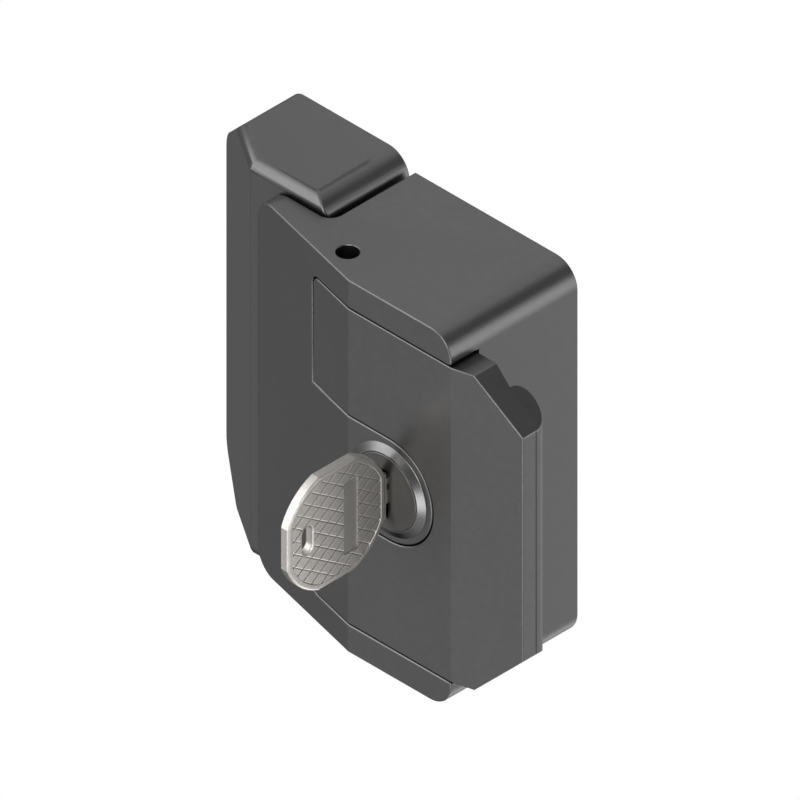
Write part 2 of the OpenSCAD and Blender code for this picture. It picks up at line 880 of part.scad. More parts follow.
module strike_plate() {
    color("#b5b7b9")
    difference() {
        block([keeper_right - strike_t, strike_front_y, -strike_h / 2],
            [keeper_right, strike_back_y, strike_h / 2]);
        bolt_windows(keeper_right - strike_t - 1, keeper_right + 1, bolt_gap);
        for (s = [-1, 1], y = strike_screw_y) {
            bar_x(strike_screw_r + run_gap, keeper_right - strike_t - 1, keeper_right,
                y, s * strike_screw_z);
            translate([keeper_right - 1, y, s * strike_screw_z])
                rotate([0, 90, 0])
                    cylinder(r1 = strike_screw_r + run_gap, r2 = strike_head_r + run_gap, h = 1 + eps);
        }
    }
}

module strike_screws() {
    color("#b9bbbd")
    for (s = [-1, 1], y = strike_screw_y)
        difference() {
            union() {
                bar_x(strike_screw_r, keeper_right - keeper_side - 1.5, keeper_right - 1,
                    y, s * strike_screw_z);
                translate([keeper_right - 1, y, s * strike_screw_z])
                    rotate([0, 90, 0])
                        cylinder(r1 = strike_screw_r, r2 = strike_head_r, h = 1);
            }
            translate([keeper_right, y, s * strike_screw_z])
                cube([1, 2.6, 0.5], center = true);
            translate([keeper_right, y, s * strike_screw_z])
                cube([1, 0.5, 2.6], center = true);
        }
}

// Key

// Round bow cut flat on four sides, in the key's own plane; inset draws it in
module bow_outline(inset) {
    intersection() {
        circle(r = bow_r - inset);
        square(2 * (bow_flat - inset), center = true);
    }
}

// Turns an outline drawn in the key's plane into a plate: x of the outline is Y, y is Z
module key_plate(x0, x1) {
    translate([x0, 0, 0])
        rotate([90, 0, 90])
            linear_extrude(height = x1 - x0)
                children();
}

module key() {
    half = key_t / 2;
    color("#9a948c")
    difference() {
        union() {
            key_plate(-half, half)
                translate([bow_y, 0])
                    bow_outline(0);
            // Neck and blade
            key_plate(-blade_t / 2, blade_t / 2)
                polygon([
                    [bow_y + bow_flat - 2, blade_z - blade_h / 2],
                    [blade_tip_y - 2, blade_z - blade_h / 2],
                    [blade_tip_y, blade_z],
                    [blade_tip_y - 2.5, blade_z + blade_h / 2],
                    [bow_y + bow_flat - 2, blade_z + blade_h / 2]
                ]);
        }
        for (s = [-1, 1]) {
            // Field inside the border, and the plate sunk a little deeper in it
            key_plate(s > 0 ? half - field_deep : -half - 1, s > 0 ? half + 1 : -half + field_deep)
                translate([bow_y, 0])
                    bow_outline(bow_rim);
            block([s * (half - field_deep - plate_deep), bow_y + 2, -bow_plate_h / 2],
                [s * (half + 1), bow_y + 2 + bow_plate_w, bow_plate_h / 2]);
            // Groove along each side of the blade
            block([s * (blade_t / 2 - 0.4), front_y - 1.6, blade_z + 0.2],
                [s * (blade_t / 2 + 1), blade_tip_y + 1, blade_z + 1.6]);
        }
        // Hole for a key ring
        for (z = [-1.8, 1.8])
            key_plate(-half - 1, half + 1)
                translate([bow_y - 8.2, z])
                    circle(r = 1.9);
        block([-half - 1, bow_y - 10.1, -1.8], [half + 1, bow_y - 6.3, 1.8]);
        // Cuts that lift the wafers
        for (i = [0:wafer_n - 1])
            key_plate(-half - 1, half + 1)
                translate([wafer_y(i) + wafer_t / 2, blade_z - blade_h / 2])
                    polygon([[-1.3, -1], [-1.3, 0], [-0.4, 0.5 + 0.3 * ((i * 2) % 3)],
                        [0.4, 0.5 + 0.3 * ((i * 2) % 3)], [1.3, 0], [1.3, -1]]);
    }
}

keeper_body();
strike_plate();
strike_screws();
case_body();
back_plate();
back_plate_screws();
grip_slide();
latch_carrier();
latch_bolts();
carrier_screws();
return_spring_upper();
return_spring_lower();
spring_guides();
cylinder_barrel();
barrel_nut();
cylinder_plug();
wafer_tumblers();
crank_disc();
crank_pin();
crank_screw();
dead_bolt();
bolt_guide();
bolt_guide_screws();
key();
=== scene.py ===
# %% [markdown]
# A door lock in dark satin metal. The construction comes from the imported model: every piece is there at its
# real size. This script gives each piece its finish and the small forms that catch the light: the narrow
# rounded edges, the rolled metal, the cross-hatched bow of the key and the turned ring of the cylinder.
# Everything is in metres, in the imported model's own frame: X runs from the keeper to the grip's lip,
# Y runs into the door and Z is up. The key's axis is the Y axis.

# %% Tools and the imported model
import json
import math

import bmesh
import bpy
import numpy as np
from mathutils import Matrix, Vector
from mathutils.geometry import delaunay_2d_cdt

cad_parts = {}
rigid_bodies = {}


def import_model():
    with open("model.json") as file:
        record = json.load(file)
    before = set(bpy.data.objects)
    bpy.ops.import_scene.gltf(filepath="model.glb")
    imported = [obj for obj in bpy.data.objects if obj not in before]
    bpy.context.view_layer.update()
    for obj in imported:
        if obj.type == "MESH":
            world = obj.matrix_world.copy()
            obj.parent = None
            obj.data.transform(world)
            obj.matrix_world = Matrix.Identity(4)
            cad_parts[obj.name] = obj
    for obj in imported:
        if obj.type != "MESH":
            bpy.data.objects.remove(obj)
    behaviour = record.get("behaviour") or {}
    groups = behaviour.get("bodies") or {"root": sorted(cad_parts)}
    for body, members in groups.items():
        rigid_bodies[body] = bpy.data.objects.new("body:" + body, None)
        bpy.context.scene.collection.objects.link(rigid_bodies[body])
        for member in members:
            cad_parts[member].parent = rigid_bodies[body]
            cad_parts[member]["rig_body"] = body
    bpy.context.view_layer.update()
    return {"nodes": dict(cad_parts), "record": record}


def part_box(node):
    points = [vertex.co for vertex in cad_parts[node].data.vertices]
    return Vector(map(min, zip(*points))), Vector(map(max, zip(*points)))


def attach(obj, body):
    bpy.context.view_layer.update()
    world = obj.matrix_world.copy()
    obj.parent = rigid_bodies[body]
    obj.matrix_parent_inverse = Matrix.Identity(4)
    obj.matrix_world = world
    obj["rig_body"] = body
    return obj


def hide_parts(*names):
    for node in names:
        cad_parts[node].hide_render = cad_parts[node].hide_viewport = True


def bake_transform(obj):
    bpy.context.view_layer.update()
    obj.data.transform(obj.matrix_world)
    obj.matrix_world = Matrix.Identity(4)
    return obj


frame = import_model()
nodes = frame["nodes"]
MM = 0.001

# %% [markdown]
# The picture is a parallel projection from the front right and above, at equal angles to the three axes.
# An orthographic camera does the same: its scale is the width of the picture in metres, and where it stands
# along its own axis doesn't matter.

# %% Camera
PICTURE_WIDTH = 0.160
PICTURE_CENTRE = Vector((-0.02030, -0.01250, 0.0))
CAMERA_DISTANCE = 1.0
AZIMUTH = math.radians(45)
ELEVATION = math.atan(1 / math.sqrt(2))
towards_camera = Vector((
    math.sin(AZIMUTH) * math.cos(ELEVATION),
    -math.cos(AZIMUTH) * math.cos(ELEVATION),
    math.sin(ELEVATION),
))
camera_data = bpy.data.cameras.new("studio_camera")
camera_data.type = "ORTHO"
camera_data.ortho_scale = PICTURE_WIDTH
camera_data.clip_end = 20
camera = bpy.data.objects.new("studio_camera", camera_data)
camera.location = PICTURE_CENTRE + towards_camera * CAMERA_DISTANCE
camera.rotation_euler = towards_camera.to_track_quat("Z", "Y").to_euler()
bpy.context.scene.collection.objects.link(camera)
bpy.context.scene.camera = camera
bpy.context.scene.view_settings.view_transform = "Standard"
print("camera looks along", [round(-c, 3) for c in towards_camera])

# %% [markdown]
# Dark metal shows little of its own colour: what is seen on it is the room. So the room is painted first, as
# a pale surround with one large soft panel, four smaller ones, a band of light at the horizon and darker
# parts. A rounded edge turns through ninety degrees within half a millimetre, so it mirrors a panel as one
# bright line.


# %% Node helpers
def add(tree, kind, **values):
    """Adds a node and sets its properties; a name that is an input's gets that input's value."""
    node = tree.nodes.new(kind)
    for key, value in values.items():
        if hasattr(node, key):
            setattr(node, key, value)
        else:
            node.inputs[key.replace("_", " ")].default_value = value
    return node


def wire(tree, source, target):
    """Joins an output socket to an input socket."""
    tree.links.new(source, target)


# %% Room
ROOM_GREY = 0.81
# Each part of the room: direction, half angle where it fades out and where it is full in degrees, strength
ROOM_PARTS = {
    "large panel, front left": ((-0.60, -0.65, 0.42), 37.0, 18.0, 1.6),
    "low panel, front left": ((-0.62, -0.77, -0.10), 17.0, 7.0, 1.3),
    "small panel, front right below": ((0.22, -0.88, -0.42), 16.0, 6.0, 3.8),
    "small panel, front right above": ((0.45, -0.75, 0.48), 28.0, 12.0, 3.4),
    "small panel, right back below": ((0.12, 0.34, -0.93), 18.0, 8.0, 2.4),
    "band at the horizon, right back": ((0.82, 0.57, -0.02), 27.0, 10.0, 1.30),
    "dark part, overhead back": ((0.56, 0.60, 0.57), 30.0, 14.0, -0.64),
    "dark part, straight ahead": ((0.0, -1.0, 0.0), 32.0, 16.0, -0.55),
    "dark part, far right": ((0.95, 0.0, 0.28), 31.0, 12.0, -0.76),
    "dark part, left below": ((-0.80, 0.30, -0.52), 62.0, 10.0, -0.58),
    "dark part, ahead below": ((-0.32, -0.77, -0.56), 38.0, 10.0, -0.18),
    "dark part, straight below": ((-0.25, -0.10, -0.96), 30.0, 12.0, -0.40),
}


def room_part(tree, direction, towards, outer, inner, strength):
    """Strength within the inner angle of a direction, none beyond the outer one, and a soft step between."""
    along = add(tree, "ShaderNodeVectorMath", operation="DOT_PRODUCT")
    wire(tree, direction, along.inputs[0])
    along.inputs[1].default_value = Vector(towards).normalized()
    step = add(tree, "ShaderNodeMapRange", interpolation_type="SMOOTHSTEP")
    step.inputs["From Min"].default_value = math.cos(math.radians(outer))
    step.inputs["From Max"].default_value = math.cos(math.radians(inner))
    step.inputs["To Max"].default_value = strength
    wire(tree, along.outputs["Value"], step.inputs["Value"])
    return step.outputs["Result"]


def make_room():
    """The world: the parts added to the room's grey, and plain white where the camera sees past the lock."""
    world = bpy.data.worlds.new("studio")
    bpy.context.scene.world = world
    world.use_nodes = True
    tree = world.node_tree
    tree.nodes.clear()
    direction = add(tree, "ShaderNodeTexCoord").outputs["Generated"]
    total = add(tree, "ShaderNodeValue").outputs[0]
    total.default_value = ROOM_GREY
    for towards, outer, inner, strength in ROOM_PARTS.values():
        added = add(tree, "ShaderNodeMath", operation="ADD")
        wire(tree, total, added.inputs[0])
        wire(tree, room_part(tree, direction, towards, outer, inner, strength), added.inputs[1])
        total = added.outputs[0]
    surround = add(tree, "ShaderNodeBackground")
    wire(tree, total, surround.inputs["Strength"])
    surround.inputs["Color"].default_value = (1, 1, 1, 1)
    backdrop = add(tree, "ShaderNodeBackground", Strength=1.0)
    backdrop.inputs["Color"].default_value = (1, 1, 1, 1)
    ray = add(tree, "ShaderNodeLightPath")
    pick = add(tree, "ShaderNodeMixShader")
    wire(tree, ray.outputs["Is Camera Ray"], pick.inputs["Fac"])
    wire(tree, surround.outputs[0], pick.inputs[1])
    wire(tree, backdrop.outputs[0], pick.inputs[2])
    wire(tree, pick.outputs[0], add(tree, "ShaderNodeOutputWorld").inputs["Surface"])


make_room()
print("room:", ", ".join(ROOM_PARTS))

# %% [markdown]
# Three effects belong to more than one finish, so each is a node group built once: the fine grain that a
# brushing wheel leaves, the light wear of an edge that hands rub, and the faint smudges of handled metal.


# %% Node groups
# How far Y of a normal may be from nothing where a surface counts as facing up, down or sideways
LEVEL_WITHIN = 0.1
# Metres between the bottom and the top of the grain, where its Height is 1
GRAIN_DEPTH = 0.0001
FLAT_POINTINESS = 0.5
WEAR_PATCHES = 600.0
# Most of the noise lies between these two values
NOISE_LOW = 0.3
NOISE_HIGH = 0.7


def make_group(name, inputs, outputs):
    """An empty shader group with named number, vector or colour sockets."""
    group = bpy.data.node_groups.new(name, "ShaderNodeTree")
    for socket, kind, value in inputs:
        made = group.interface.new_socket(socket, in_out="INPUT", socket_type="NodeSocket" + kind)
        made.default_value = value
    for socket, kind in outputs:
        group.interface.new_socket(socket, in_out="OUTPUT", socket_type="NodeSocket" + kind)
    return group, add(group, "NodeGroupInput"), add(group, "NodeGroupOutput")


def brushed_grain_group():
    """Noise stretched along an axis: Fineness scratches to the metre across it, and few along it. With
    Turned at 1 they run along Y where the surface faces only up, down or sideways."""
    group, given, result = make_group(
        "brushed_grain",
        [("Along", "Vector", (1.0, 1.0, 1.0)), ("Turned", "Float", 0.0), ("Fineness", "Float", 9000.0),
         ("Height", "Float", 0.1)],
        [("Scratches", "Float"), ("Normal", "Vector")],
    )
    place = add(group, "ShaderNodeTexCoord")
    stretch = add(group, "ShaderNodeVectorMath", operation="MULTIPLY")
    wire(group, place.outputs["Object"], stretch.inputs[0])
    facing = add(group, "ShaderNodeSeparateXYZ")
    wire(group, add(group, "ShaderNodeNewGeometry").outputs["Normal"], facing.inputs[0])
    level = add(group, "ShaderNodeMath", operation="COMPARE")
    wire(group, facing.outputs["Y"], level.inputs[0])
    level.inputs[1].default_value = 0.0
    level.inputs[2].default_value = LEVEL_WITHIN
    turn = add(group, "ShaderNodeMath", operation="MULTIPLY")
    wire(group, level.outputs[0], turn.inputs[0])
    wire(group, given.outputs["Turned"], turn.inputs[1])
    swap = add(group, "ShaderNodeSeparateXYZ")
    wire(group, given.outputs["Along"], swap.inputs[0])
    swapped = add(group, "ShaderNodeCombineXYZ")
    wire(group, swap.outputs["Z"], swapped.inputs["X"])
    wire(group, swap.outputs["X"], swapped.inputs["Y"])
    wire(group, swap.outputs["Z"], swapped.inputs["Z"])
    chosen = add(group, "ShaderNodeMix", data_type="VECTOR")
    wire(group, turn.outputs[0], chosen.inputs["Factor"])
    wire(group, given.outputs["Along"], chosen.inputs["A"])
    wire(group, swapped.outputs[0], chosen.inputs["B"])
    wire(group, chosen.outputs["Result"], stretch.inputs[1])
    noise = add(group, "ShaderNodeTexNoise", Detail=3.0, Roughness=0.6)
    wire(group, stretch.outputs[0], noise.inputs["Vector"])
    wire(group, given.outputs["Fineness"], noise.inputs["Scale"])
    bump = add(group, "ShaderNodeBump", Distance=GRAIN_DEPTH)
    wire(group, given.outputs["Height"], bump.inputs["Strength"])
    wire(group, noise.outputs["Fac"], bump.inputs["Height"])
    wire(group, noise.outputs["Fac"], result.inputs["Scratches"])
    wire(group, bump.outputs["Normal"], result.inputs["Normal"])
    return group


def edge_wear_group():
    """Where the surface is convex the mask rises, broken up by noise, as hands and keys wear an edge."""
    group, given, result = make_group(
        "edge_wear",
        [("Amount", "Float", 0.5), ("Spread", "Float", 0.04)],
        [("Mask", "Float")],
    )
    shape = add(group, "ShaderNodeNewGeometry")
    above = add(group, "ShaderNodeMath", operation="SUBTRACT")
    wire(group, shape.outputs["Pointiness"], above.inputs[0])
    above.inputs[1].default_value = FLAT_POINTINESS
    share = add(group, "ShaderNodeMath", operation="DIVIDE", use_clamp=True)
    wire(group, above.outputs[0], share.inputs[0])
    wire(group, given.outputs["Spread"], share.inputs[1])
    place = add(group, "ShaderNodeTexCoord")
    noise = add(group, "ShaderNodeTexNoise", Scale=WEAR_PATCHES, Detail=4.0)
    wire(group, place.outputs["Object"], noise.inputs["Vector"])
    broken = add(group, "ShaderNodeMath", operation="MULTIPLY")
    wire(group, share.outputs[0], broken.inputs[0])
    wire(group, noise.outputs["Fac"], broken.inputs[1])
    mask = add(group, "ShaderNodeMath", operation="MULTIPLY", use_clamp=True)
    wire(group, broken.outputs[0], mask.inputs[0])
    wire(group, given.outputs["Amount"], mask.inputs[1])
    wire(group, mask.outputs[0], result.inputs["Mask"])
    return group


def smudges_group():
    """Broad soft noise between two limits, for roughness that isn't even."""
    group, given, result = make_group(
        "smudges",
        [("Size", "Float", 60.0), ("Low", "Float", 0.0), ("High", "Float", 1.0)],
        [("Value", "Float")],
    )
    place = add(group, "ShaderNodeTexCoord")
    noise = add(group, "ShaderNodeTexNoise", Detail=4.0, Roughness=0.55)
    wire(group, place.outputs["Object"], noise.inputs["Vector"])
    wire(group, given.outputs["Size"], noise.inputs["Scale"])
    spread = add(group, "ShaderNodeMapRange")
    spread.inputs["From Min"].default_value = NOISE_LOW
    spread.inputs["From Max"].default_value = NOISE_HIGH
    wire(group, noise.outputs["Fac"], spread.inputs["Value"])
    wire(group, given.outputs["Low"], spread.inputs["To Min"])
    wire(group, given.outputs["High"], spread.inputs["To Max"])
    wire(group, spread.outputs["Result"], result.inputs["Value"])
    return group


GRAIN = brushed_grain_group()
WEAR = edge_wear_group()
SMUDGES = smudges_group()
print("groups:", GRAIN.name, WEAR.name, SMUDGES.name)

# %% [markdown]
# All the finishes are metals, so one recipe makes them: a base colour that wear lightens, a roughness that
# smudges and scratches vary, and the grain's own normal. What differs is written where each one is made.


# %% Metal finishes
def metal(name, colour, worn, rough, rough_span, along, fineness, height, wear, size=60.0, turned=0.0):
    """A metal: its colour and worn colour, its roughness and how much that varies, its grain's direction,
    fineness and depth, and how much of each edge is worn."""
    material = bpy.data.materials.new(name)
    material.use_nodes = True
    tree = material.node_tree
    tree.nodes.clear()
    surface = add(tree, "ShaderNodeBsdfPrincipled")
    surface.inputs["Metallic"].default_value = 1.0
    wire(tree, surface.outputs[0], add(tree, "ShaderNodeOutputMaterial").inputs["Surface"])

    grain = add(tree, "ShaderNodeGroup", node_tree=GRAIN)
    grain.inputs["Along"].default_value = along
    grain.inputs["Turned"].default_value = turned
    grain.inputs["Fineness"].default_value = fineness
    grain.inputs["Height"].default_value = height
    edge = add(tree, "ShaderNodeGroup", node_tree=WEAR)
    edge.inputs["Amount"].default_value = wear
    smudge = add(tree, "ShaderNodeGroup", node_tree=SMUDGES)
    smudge.inputs["Size"].default_value = size
    smudge.inputs["Low"].default_value = rough - rough_span / 2
    smudge.inputs["High"].default_value = rough + rough_span / 2

    tint = add(tree, "ShaderNodeMix", data_type="RGBA")
    tint.inputs["A"].default_value = (*colour, 1)
    tint.inputs["B"].default_value = (*worn, 1)
    wire(tree, edge.outputs["Mask"], tint.inputs["Factor"])
    wire(tree, tint.outputs["Result"], surface.inputs["Base Color"])

    streak = add(tree, "ShaderNodeMath", operation="MULTIPLY_ADD")
    wire(tree, grain.outputs["Scratches"], streak.inputs[0])
    streak.inputs[1].default_value = rough_span
    wire(tree, smudge.outputs["Value"], streak.inputs[2])
    wire(tree, streak.outputs[0], surface.inputs["Roughness"])
    wire(tree, grain.outputs["Normal"], surface.inputs["Normal"])
    return material


# Each finish: colour, worn colour, roughness and how much it varies, then the grain's direction, fineness
# and height, and the wear
FINISHES = {
    "housing": metal("dark_satin_metal", (0.130, 0.130, 0.131), (0.20, 0.20, 0.20), 0.32, 0.03,
                     (0.04, 0.04, 1.0), 3000.0, 0.225, 0.35, turned=1.0),
    "steel": metal("zinc_plated_sheet", (0.50, 0.51, 0.52), (0.62, 0.62, 0.62), 0.38, 0.10,
                   (1.0, 1.0, 0.2), 2500.0, 0.05, 0.3, size=140.0),
    "bolt": metal("ground_steel", (0.56, 0.56, 0.57), (0.7, 0.7, 0.7), 0.22, 0.06,
                  (0.03, 1.0, 1.0), 7000.0, 0.03, 0.4),
    "screw": metal("plated_screw", (0.55, 0.55, 0.54), (0.7, 0.7, 0.7), 0.30, 0.08,
                   (1.0, 1.0, 1.0), 5000.0, 0.05, 0.4),
    "spring": metal("spring_wire", (0.46, 0.46, 0.47), (0.6, 0.6, 0.6), 0.26, 0.06,
                    (1.0, 1.0, 1.0), 6000.0, 0.05, 0.3),
    "ring": metal("turned_dark_metal", (0.164, 0.164, 0.164), (0.3, 0.3, 0.3), 0.22, 0.03,
                  (1.0, 1.0, 1.0), 3000.0, 0.20, 0.3),
    "plug": metal("plug_face", (0.128, 0.126, 0.122), (0.2, 0.2, 0.2), 0.34, 0.04,
                  (1.0, 1.0, 1.0), 5000.0, 0.05, 0.3),
    "wafer": metal("stamped_brass", (0.55, 0.40, 0.18), (0.7, 0.55, 0.3), 0.34, 0.08,
                   (1.0, 1.0, 1.0), 4000.0, 0.05, 0.3),
    "key": metal("nickel_silver", (0.600, 0.573, 0.543), (0.66, 0.64, 0.61), 0.33, 0.06,
                 (1.0, 1.0, 1.0), 2600.0, 0.85, 0.5, size=220.0),
}
SLOT_OF = {s["node"]: s["material_slot"] for s in frame["record"]["subparts"]}


def darken_by(material, attribute, share):
    """Multiplies a material's base colour by 1 less share times the attribute."""
    tree = material.node_tree
    base = tree.nodes["Principled BSDF"].inputs["Base Color"]
    before = base.links[0].from_socket
    mask = add(tree, "ShaderNodeAttribute", attribute_name=attribute)
    keep = add(tree, "ShaderNodeMath", operation="MULTIPLY_ADD", use_clamp=True)
    wire(tree, mask.outputs["Fac"], keep.inputs[0])
    keep.inputs[1].default_value = -share
    keep.inputs[2].default_value = 1.0
    darker = add(tree, "ShaderNodeVectorMath", operation="SCALE")
    wire(tree, before, darker.inputs[0])
    wire(tree, keep.outputs[0], darker.inputs["Scale"])
    wire(tree, darker.outputs[0], base)


# Painted shade: the key's base colour is darkened by up to this share at the bottom of its rising grooves,
# standing in for the shade between their walls, and the sunk panel is darkened evenly
BOW_DARKENING_SHARE = 0.85
darken_by(FINISHES["key"], "groove_shade_and_panel_darkening", BOW_DARKENING_SHARE)
for node_name, cad_object in nodes.items():
    cad_object.data.materials.clear()
    cad_object.data.materials.append(FINISHES[SLOT_OF[node_name]])
print("finishes:", ", ".join(FINISHES))

# %% [markdown]
# Real edges are never sharp. A copy of each piece gets the rounding that its tool leaves: its doubled points
# are merged, its flat faces are cleared of inner lines, and a bevel of up to three tenths of a millimetre
# follows every outer edge that turns by more than the given angle. Where the bevel folds the outline of a
# flat face over itself, the face is filled again. Weighted normals keep the flat faces flat. The keyway's
# mouth is also drawn in a little.

# %% Rounded copies
TURN = math.radians(28)
CREASE = math.radians(2)
SAME_POINT = 1e-6
SAME_PLANE = math.radians(0.3)
# Cosine of the angle between the normals of two faces in one plane
SAME_NORMAL = 0.99999
# Twice the area, in square metres, of the largest triangle that may face the wrong way
FOLD = 1e-12
# Corners of a net nearer to each other than this, in metres, are one
NET_MERGE = 1e-8


def is_broad(face):
    """True of a face that is wider than the facets of a rounded corner."""
    longest = max(e.calc_length() for e in face.edges)
    return face.calc_area() > max(4 * MM * MM, 3 * MM * longest)


def clean_copy(name, keep_beyond=None):
    """A bmesh of a node with doubles merged and flat faces cleared; what is before keep_beyond in Y goes."""
    shape = bmesh.new()
    shape.from_mesh(nodes[name].data)
    bmesh.ops.remove_doubles(shape, verts=shape.verts, dist=SAME_POINT)
    bmesh.ops.dissolve_limit(
        shape, angle_limit=SAME_PLANE, use_dissolve_boundaries=False,
        verts=shape.verts, edges=shape.edges,
    )
    if keep_beyond is not None:
        everything = shape.verts[:] + shape.edges[:] + shape.faces[:]
        bmesh.ops.bisect_plane(
            shape, geom=everything, plane_co=(0, keep_beyond, 0), plane_no=(0, 1, 0), clear_inner=True,
        )
    return shape


def folded_faces(shape):
    """Faces of a bmesh whose outline crosses itself: some of their triangles face the other way."""
    folded = []
    for corners in shape.calc_loop_triangles():
        a, b, c = (corner.vert.co for corner in corners)
        face = corners[0].face
        if (b - a).cross(c - a).dot(face.normal) < -FOLD:
            folded.append(face)
    return folded


def flat_region(start):
    """The face and all that lie in its plane and are reached from it, in the order they are reached."""
    region = [start]
    reached = {start}
    for face in region:
        for edge in face.edges:
            for other in edge.link_faces:
                if other not in reached and other.normal.dot(start.normal) > SAME_NORMAL:
                    region.append(other)
                    reached.add(other)
    return region


def folded_regions(shape):
    """The flat regions of a bmesh that hold a folded face."""
    regions, taken = [], set()
    for face in folded_faces(shape):
        if face not in taken:
            regions.append(flat_region(face))
            taken.update(regions[-1])
    return regions


def is_inside(point, starts, ends):
    """True where a line from a 2-D point towards +X crosses an odd number of edges, given by their ends."""
    above = starts[:, 1] > point[1]
    split = above != (ends[:, 1] > point[1])
    rise = np.where(split, ends[:, 1] - starts[:, 1], 1.0)
    crossing = starts[:, 0] + (ends[:, 0] - starts[:, 0]) * (point[1] - starts[:, 1]) / rise
    return np.count_nonzero(split & (crossing > point[0])) % 2 == 1


def fill_between(shape, outline, normal):
    """Triangles between the edges of an outline and its holes, from the Delaunay net of their corners. Where
    the edges cross each other, the net has a corner of its own."""
    corners = list(dict.fromkeys(corner for edge in outline for corner in edge.verts))
    place = {corner: i for i, corner in enumerate(corners)}
    level = normal.to_track_quat("Z", "Y").inverted()
    depth = (level @ corners[0].co).z
    flat = [(level @ corner.co).to_2d() for corner in corners]
    lines = [tuple(place[corner] for corner in edge.verts) for edge in outline]
    points, _, triangles, origins, _, _ = delaunay_2d_cdt(flat, lines, [], 0, NET_MERGE)
    starts, ends = (np.array([flat[line[side]] for line in lines]) for side in (0, 1))
    middles = [sum((points[i] for i in triangle), Vector((0, 0))) / 3 for triangle in triangles]
    kept = [triangle for triangle, middle in zip(triangles, middles) if is_inside(middle, starts, ends)]
    used = {}
    for i in dict.fromkeys(i for triangle in kept for i in triangle):
        if origins[i]:
            used[i] = corners[origins[i][0]]
        else:
            used[i] = shape.verts.new(level.inverted() @ Vector((*points[i], depth)))
    for triangle in kept:
        face = shape.faces.new([used[i] for i in triangle])
        face.normal_update()
        face.smooth = True


def fill_anew(shape):
    """Fills each flat region with a folded face again from its outline and holes. The lists keep an order,
    so each run makes the same triangles."""
    for region in folded_regions(shape):
        normal = max(region, key=lambda face: face.calc_area()).normal.copy()
        edges = list(dict.fromkeys(edge for face in region for edge in face.edges))
        inside = set(region)
        inner = [edge for edge in edges if inside.issuperset(edge.link_faces)]
        outline = [edge for edge in edges if not inside.issuperset(edge.link_faces)]
        bmesh.ops.delete(shape, geom=region, context="FACES_ONLY")
        bmesh.ops.delete(shape, geom=inner, context="EDGES")
        fill_between(shape, outline, normal)


def object_of(shape, name):
    """A new object from a bmesh, which is freed."""
    mesh = bpy.data.meshes.new(name)
    shape.to_mesh(mesh)
    shape.free()
    piece = bpy.data.objects.new(name, mesh)
    bpy.context.scene.collection.objects.link(piece)
    return piece


def apply_modifiers(piece):
    """Gives the object the mesh that its modifiers make, and clears them."""
    before = piece.data
    graph = bpy.context.evaluated_depsgraph_get()
    piece.data = bpy.data.meshes.new_from_object(piece.evaluated_get(graph))
    piece.modifiers.clear()
    bpy.data.meshes.remove(before)
    piece.data.name = piece.name


def rounded_mesh(shape, name, width, clamp, spared=(0, 0)):
    """An object from a bmesh with its outer edges rounded by width metres, but for those between the two X
    values in spared."""
    weights = shape.edges.layers.float.new("bevel_weight_edge")
    shape.faces.index_update()
    broad = {f.index for f in shape.faces if is_broad(f)}
    for edge in shape.edges:
        pair = edge.link_faces
        if len(pair) != 2:
            continue
        angle = edge.calc_face_angle(0.0)
        both = pair[0].index in broad and pair[1].index in broad
        edge.smooth = not (angle > TURN or (both and angle > CREASE))
        spare = all(spared[0] < corner.co.x < spared[1] for corner in edge.verts)
        if angle > TURN and edge.is_convex and not spare:
            edge[weights] = 1.0
    for face in shape.faces:
        face.smooth = True
    piece = object_of(shape, name)
    bevel = piece.modifiers.new("edge", "BEVEL")
    bevel.width = width
    bevel.segments = 3
    bevel.limit_method = "WEIGHT"
    bevel.use_clamp_overlap = clamp
    apply_modifiers(piece)
    shape = bmesh.new()
    shape.from_mesh(piece.data)
    fill_anew(shape)
    shape.to_mesh(piece.data)
    shape.free()
    level = piece.modifiers.new("level", "WEIGHTED_NORMAL")
    level.keep_sharp = True
    level.weight = 100
    apply_modifiers(piece)
    return piece


def take_place(piece, *names):
    """The piece wears the finish of the first node, rides on its body and hides the nodes."""
    slot = SLOT_OF[names[0]]
    piece.data.materials.clear()
    piece.data.materials.append(FINISHES[slot])
    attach(piece, nodes[names[0]]["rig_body"])
    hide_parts(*names)
    return piece


# The keyway's corners are nearer to its axis than this, and it narrows towards the front over this depth
KEYWAY_REACH = 0.0070
MOUTH_DEPTH = 0.0010
# Share of the keyway's width that its mouth has, and how much lower the mouth's top is
MOUTH_WIDTH = 0.90
MOUTH_DROP = 0.0008


def with_drawn_in_mouth(shape):
    """The plug's bmesh with the front end of its keyway drawn in at the sides and at the top."""
    front = min(corner.co.y for corner in shape.verts)
    everything = shape.verts[:] + shape.edges[:] + shape.faces[:]
    bmesh.ops.bisect_plane(
        shape, geom=everything, plane_co=(0, front + MOUTH_DEPTH, 0), plane_no=(0, 1, 0),
    )
    for corner in shape.verts:
        x, y, z = corner.co
        if y < front + SAME_POINT and math.hypot(x, z) < KEYWAY_REACH:
            corner.co.x = x * MOUTH_WIDTH
            if z > 0:
                corner.co.z = z - MOUTH_DROP
    shape.normal_update()
    return shape


# Width of the rounding in metres; the large pieces have room for it on every edge
LARGE_PIECES = {
    "case_body": 0.00030,
    "keeper_body": 0.00030,
    "grip_slide": 0.00024,
    "cylinder_plug": 0.00014,
}
SMALL_PIECES = {
    "strike_plate": 0.00020,
    "back_plate": 0.00020,
    "latch_carrier": 0.00015,
    "latch_bolts": 0.00025,
    "dead_bolt": 0.00025,
    "wafer_tumblers": 0.00008,
    "crank_disc": 0.00015,
    "crank_pin": 0.00015,
    "crank_screw": 0.00012,
    "carrier_screws": 0.00012,
    "strike_screws": 0.00008,
    "back_plate_screws": 0.00008,
    "bolt_guide_screws": 0.00008,
    "bolt_guide": 0.00012,
    "barrel_nut": 0.00020,
    "spring_guides": 0.00015,
}
